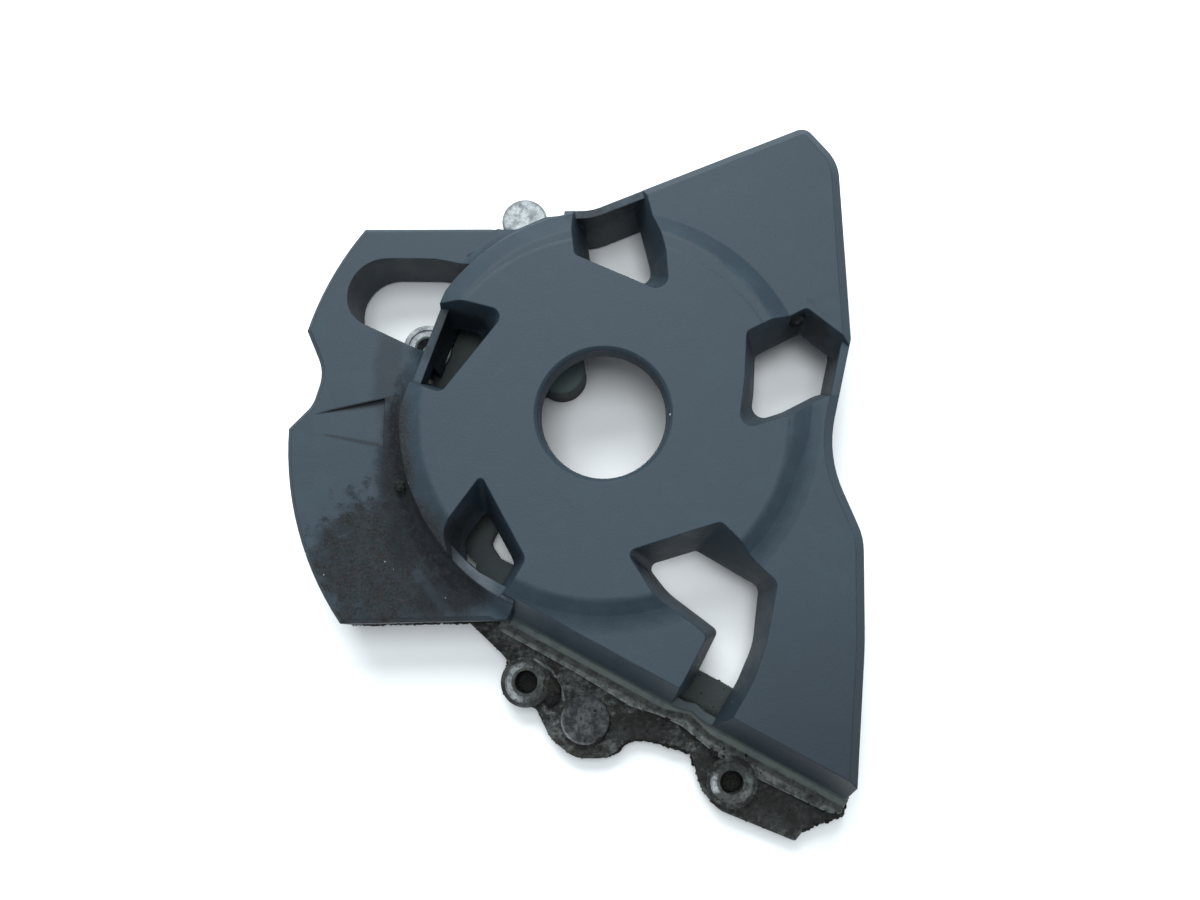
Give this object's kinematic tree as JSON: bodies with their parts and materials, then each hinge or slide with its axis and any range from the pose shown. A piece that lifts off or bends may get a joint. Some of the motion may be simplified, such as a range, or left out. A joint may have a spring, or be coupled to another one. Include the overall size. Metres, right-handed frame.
{
  "type": "motorcycle sprocket cover",
  "caption": "Moulded cover with a round disc, a central hole, drafted windows, a slotted wing and a pointed plate, standing on a thin lugged metal casting.",
  "frame": {"origin": "the sprocket's axis, which runs through the middle of the round disc and its central hole, where it meets the engine's mounting face", "axes": "+Z away from the engine, out through the disc. +X towards the plate's long upright side, at the right of the picture. +Y towards the plate's apex, at the top of the picture"},
  "size_m": [0.1707, 0.2131, 0.036],
  "materials": {
    "shell_plastic": "dark blue-grey, finely textured, semi-matt",
    "cast_metal": "bare, mottled and greasy",
    "screw_steel": "zinc plated"
  },
  "bodies": {
    "root": {"outer_shell": "shell_plastic", "base_casting": "cast_metal", "shell_screws": "screw_steel"}
  },
  "joints": []
}
